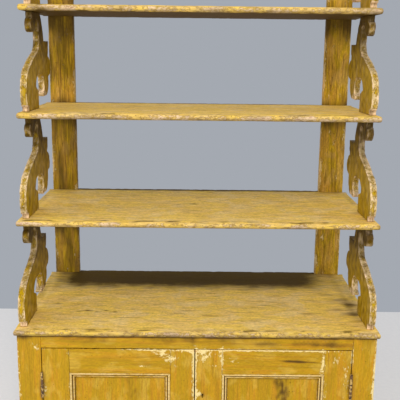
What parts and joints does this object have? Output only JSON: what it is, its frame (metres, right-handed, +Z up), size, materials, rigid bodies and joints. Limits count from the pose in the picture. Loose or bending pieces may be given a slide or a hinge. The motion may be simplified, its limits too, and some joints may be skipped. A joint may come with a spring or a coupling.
{
  "type": "step back cupboard",
  "caption": "Painted pine cupboard with panelled doors below an open rack of graduated shelves, carried at the ends on sawn scroll brackets and at the back on tall uprights",
  "frame": {"origin": "on the floor, midway across the cupboard and midway from its front edge to its back", "axes": "+Z up, -Y out of the doors, +X to the viewer's right as the viewer faces the doors"},
  "size_m": [1.02, 0.55, 1.72],
  "materials": {
    "ochre_paint": "worn ochre oil paint over pine, satin",
    "worn_ochre_board": "ochre paint worn thin over pine, dry satin",
    "upright_ochre": "aged ochre paint on vertical pine grain, satin",
    "scroll_ochre": "aged ochre paint on sawn pine, chipped edges",
    "bare_pine": "unpainted aged pine, matte",
    "old_iron": "rusted iron under worn ochre paint, matte",
    "fastener_iron": "dark oxidised iron, matte"
  },
  "bodies": {
    "case": {"back_board_1": "bare_pine", "back_board_2": "bare_pine", "back_board_3": "bare_pine", "back_nails": "fastener_iron", "case_bottom": "bare_pine", "case_side_left": "ochre_paint", "case_side_right": "ochre_paint", "face_rail_bottom": "ochre_paint", "face_rail_top": "ochre_paint", "face_stile_left": "ochre_paint", "face_stile_right": "ochre_paint", "hinge_case_left": "old_iron", "hinge_case_right": "old_iron", "hinge_pins_left": "old_iron", "hinge_pins_right": "old_iron", "hinge_screws_case": "fastener_iron", "inner_shelf": "bare_pine", "scroll_left_1": "scroll_ochre", "scroll_left_2": "scroll_ochre", "scroll_left_3": "scroll_ochre", "scroll_left_4": "scroll_ochre", "scroll_nails": "fastener_iron", "scroll_right_1": "scroll_ochre", "scroll_right_2": "scroll_ochre", "scroll_right_3": "scroll_ochre", "scroll_right_4": "scroll_ochre", "shelf_1": "worn_ochre_board", "shelf_2": "worn_ochre_board", "shelf_3": "worn_ochre_board", "shelf_4": "worn_ochre_board", "shelf_cleat_left": "bare_pine", "shelf_cleat_right": "bare_pine", "upright_left": "upright_ochre", "upright_nails": "fastener_iron", "upright_right": "upright_ochre", "worktop": "worn_ochre_board"},
    "left_door": {"left_door_bottom_rail": "ochre_paint", "left_door_hinge_stile": "ochre_paint", "left_door_lock_stile": "ochre_paint", "left_door_moulding": "ochre_paint", "left_door_panel": "ochre_paint", "left_door_top_rail": "ochre_paint", "hinge_door_left": "old_iron", "hinge_screws_left": "fastener_iron", "slide_plate": "old_iron", "slide_screws": "fastener_iron"},
    "right_door": {"right_door_bottom_rail": "ochre_paint", "right_door_hinge_stile": "ochre_paint", "right_door_lock_stile": "ochre_paint", "right_door_moulding": "ochre_paint", "right_door_panel": "ochre_paint", "right_door_top_rail": "ochre_paint", "hinge_door_right": "old_iron", "hinge_screws_right": "fastener_iron", "lock_case": "old_iron", "lock_screws": "fastener_iron"},
    "lock_bolt": {"lock_bolt": "old_iron"},
    "slide_bolt": {"slide_bolt": "old_iron"}
  },
  "joints": [
    {"name": "left_door_hinge", "type": "hinge", "parent": "case", "child": "left_door", "pos_m": [-0.436, -0.2708, 0.298], "axis": [0, 0, -1], "range_deg": [0, 170]},
    {"name": "right_door_hinge", "type": "hinge", "parent": "case", "child": "right_door", "pos_m": [0.436, -0.2708, 0.298], "axis": [0, 0, 1], "range_deg": [0, 170]},
    {"name": "lock_bolt_throw", "type": "slide", "parent": "right_door", "child": "lock_bolt", "axis": [-1, 0, 0], "range_m": [0, 0.012]},
    {"name": "slide_bolt_throw", "type": "slide", "parent": "left_door", "child": "slide_bolt", "axis": [0, 0, 1], "range_m": [0, 0.012]}
  ]
}
